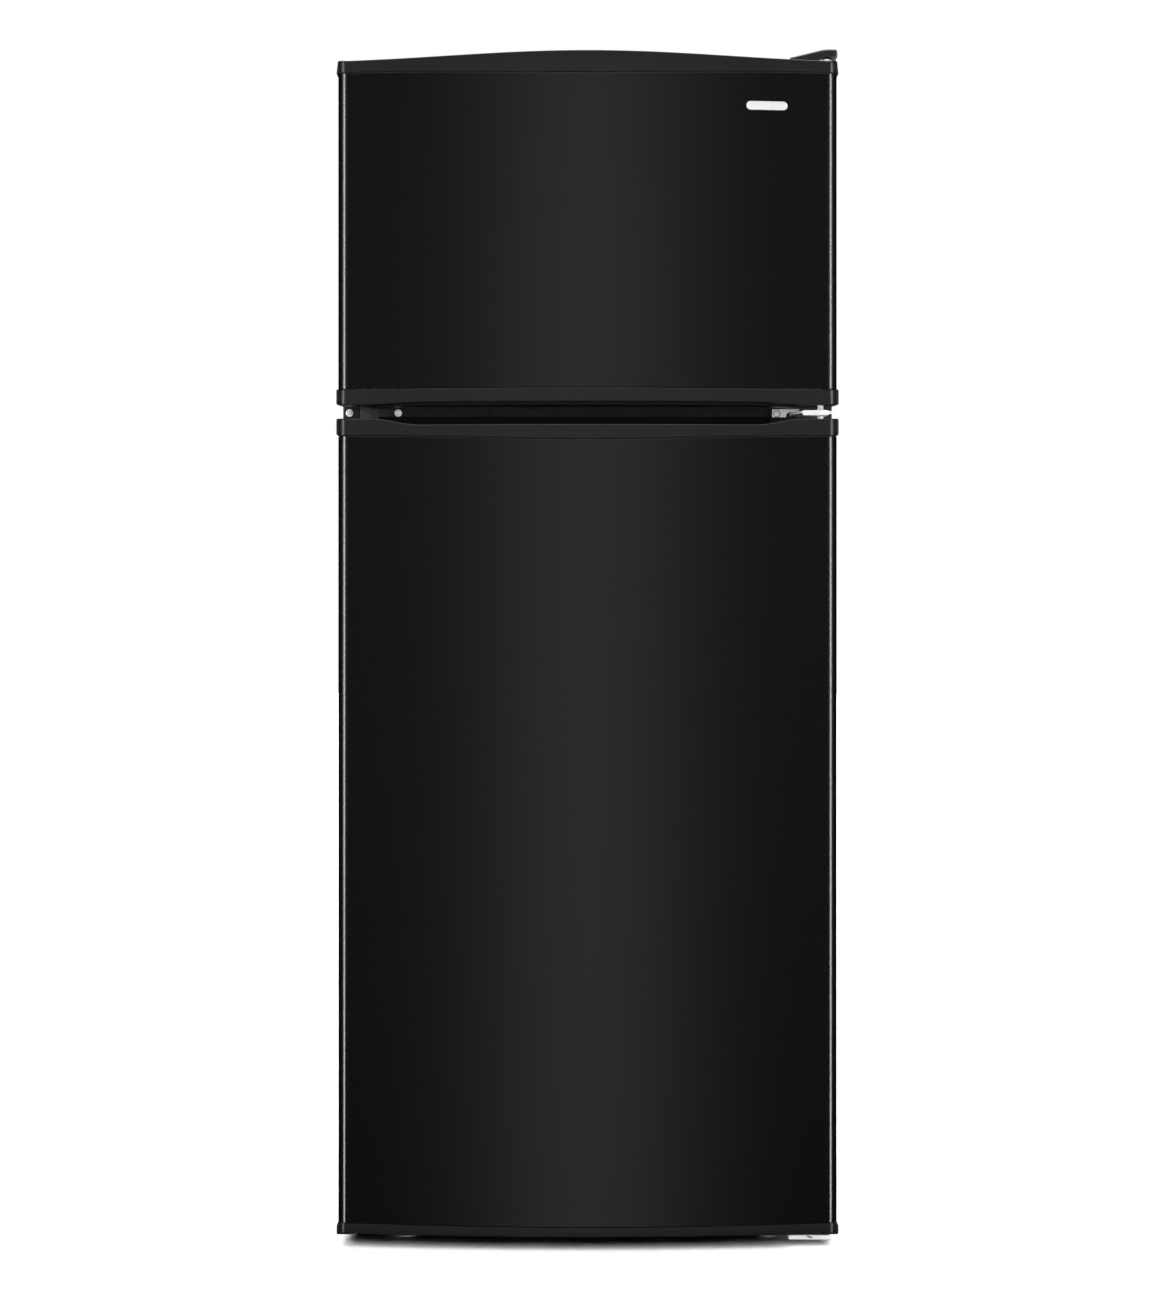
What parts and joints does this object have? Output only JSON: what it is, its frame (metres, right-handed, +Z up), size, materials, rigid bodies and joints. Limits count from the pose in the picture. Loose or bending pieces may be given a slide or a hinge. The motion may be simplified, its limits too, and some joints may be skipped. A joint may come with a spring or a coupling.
{
  "type": "top freezer refrigerator",
  "caption": "Free-standing black top freezer refrigerator with bowed hinged doors, recessed finger grips, shelves, crisper drawers and door bins.",
  "frame": {"origin": "on the floor, under the middle of the object's outline", "axes": "+Z up, doors face -Y, +X is the viewer's right and the hinge side"},
  "size_m": [0.711, 0.768, 1.6975],
  "materials": {
    "door_paint": "gloss",
    "cabinet_paint": "satin",
    "cap_plastic": "satin",
    "frame_paint": "matte",
    "plated_steel": "satin",
    "liner_plastic": "satin",
    "bin_plastic": "gloss",
    "foam": "matte",
    "gasket_vinyl": "satin",
    "shelf_glass": "gloss",
    "bulb_glass": "gloss",
    "aluminium": "satin",
    "copper": "satin",
    "black_plastic": "matte",
    "compressor_iron": "satin",
    "grey_plastic": "satin",
    "badge_metal": "satin"
  },
  "bodies": {
    "cabinet": {"cabinet_wrapper": "cabinet_paint", "back_panel": "cabinet_paint", "mullion_rail": "cabinet_paint", "top_hinge_cover": "cap_plastic", "base_frame": "frame_paint", "rail_screw_outer": "plated_steel", "rail_screw_inner": "plated_steel", "center_hinge_screw": "plated_steel", "top_hinge": "plated_steel", "center_hinge": "plated_steel", "bottom_hinge": "plated_steel", "freezer_liner": "liner_plastic", "food_liner": "liner_plastic", "evaporator_cover": "liner_plastic", "upper_shelf_frame": "bin_plastic", "lower_shelf_frame": "bin_plastic", "crisper_cover_frame": "bin_plastic", "freezer_shelf": "bin_plastic", "control_housing": "bin_plastic", "cabinet_insulation": "foam", "upper_shelf_glass": "shelf_glass", "lower_shelf_glass": "shelf_glass", "crisper_cover_glass": "shelf_glass", "light_bulb": "bulb_glass", "evaporator_coil": "aluminium", "condenser_coil": "copper", "toe_grille": "black_plastic", "machine_cover": "black_plastic", "drain_pan": "black_plastic", "compressor": "compressor_iron", "condenser_fan_motor": "grey_plastic", "evaporator_fan_motor": "grey_plastic"},
    "freezer_door": {"freezer_door_skin": "door_paint", "freezer_door_core": "foam", "freezer_door_liner": "liner_plastic", "freezer_top_cap": "cap_plastic", "freezer_handle_cap": "cap_plastic", "freezer_door_gasket": "gasket_vinyl", "freezer_door_bin": "bin_plastic", "badge": "badge_metal"},
    "food_door": {"food_door_skin": "door_paint", "food_door_core": "foam", "food_door_liner": "liner_plastic", "food_handle_cap": "cap_plastic", "food_bottom_cap": "cap_plastic", "food_door_gasket": "gasket_vinyl", "gallon_bin": "bin_plastic", "middle_bin": "bin_plastic"},
    "dairy_lid": {"dairy_lid": "bin_plastic"},
    "left_crisper": {"left_crisper": "bin_plastic"},
    "right_crisper": {"right_crisper": "bin_plastic"},
    "humidity_slide": {"humidity_slide": "grey_plastic"},
    "temperature_knob": {"temperature_knob": "grey_plastic"},
    "light_switch": {"light_switch": "black_plastic"},
    "evaporator_fan": {"evaporator_fan": "black_plastic"},
    "condenser_fan": {"condenser_fan": "black_plastic"},
    "left_leg": {"leveling_leg_left": "plated_steel"},
    "right_leg": {"leveling_leg_right": "plated_steel"},
    "left_roller": {"rear_roller_left": "black_plastic"},
    "right_roller": {"rear_roller_right": "black_plastic"}
  },
  "joints": [
    {"name": "freezer_door_hinge", "type": "hinge", "parent": "cabinet", "child": "freezer_door", "pos_m": [0.331, -0.33, 1.44], "axis": [0, 0, 1], "range_deg": [0, 130]},
    {"name": "food_door_hinge", "type": "hinge", "parent": "cabinet", "child": "food_door", "pos_m": [0.331, -0.33, 0.6], "axis": [0, 0, 1], "range_deg": [0, 130]},
    {"name": "dairy_lid_hinge", "type": "hinge", "parent": "food_door", "child": "dairy_lid", "pos_m": [0, -0.251, 1.0907], "axis": [1, 0, 0], "range_deg": [0, 60]},
    {"name": "left_crisper_slide", "type": "slide", "parent": "cabinet", "child": "left_crisper", "axis": [0, -1, 0], "range_m": [0, 0.24]},
    {"name": "right_crisper_slide", "type": "slide", "parent": "cabinet", "child": "right_crisper", "axis": [0, -1, 0], "range_m": [0, 0.24]},
    {"name": "humidity_slide_travel", "type": "slide", "parent": "cabinet", "child": "humidity_slide", "axis": [1, 0, 0], "range_m": [-0.026, 0.026]},
    {"name": "temperature_knob_turn", "type": "hinge", "parent": "cabinet", "child": "temperature_knob", "pos_m": [-0.06, -0.1245, 1.114], "axis": [0, -1, 0], "range_deg": [0, 300]},
    {"name": "light_switch_travel", "type": "slide", "parent": "cabinet", "child": "light_switch", "axis": [0, -1, 0], "range_m": [0, 0.006]},
    {"name": "evaporator_fan_spin", "type": "hinge", "parent": "cabinet", "child": "evaporator_fan", "pos_m": [0, 0.27, 1.52], "axis": [0, 1, 0], "continuous": true},
    {"name": "condenser_fan_spin", "type": "hinge", "parent": "cabinet", "child": "condenser_fan", "pos_m": [0.01, 0.27, 0.128], "axis": [1, 0, 0], "continuous": true},
    {"name": "left_leg_turn", "type": "hinge", "parent": "cabinet", "child": "left_leg", "pos_m": [-0.262, -0.255, 0.004], "axis": [0, 0, 1], "continuous": true},
    {"name": "right_leg_turn", "type": "hinge", "parent": "cabinet", "child": "right_leg", "pos_m": [0.262, -0.255, 0.004], "axis": [0, 0, 1], "continuous": true},
    {"name": "left_roller_spin", "type": "hinge", "parent": "cabinet", "child": "left_roller", "pos_m": [-0.29, 0.345, 0.017], "axis": [1, 0, 0], "continuous": true},
    {"name": "right_roller_spin", "type": "hinge", "parent": "cabinet", "child": "right_roller", "pos_m": [0.29, 0.345, 0.017], "axis": [1, 0, 0], "continuous": true}
  ],
  "couplings": [
    {"joint": "left_crisper_slide", "follows": "food_door_hinge", "m_per_rad": 0.105},
    {"joint": "right_crisper_slide", "follows": "food_door_hinge", "m_per_rad": 0.105},
    {"joint": "light_switch_travel", "follows": "food_door_hinge", "m_per_rad": 0.0026}
  ]
}
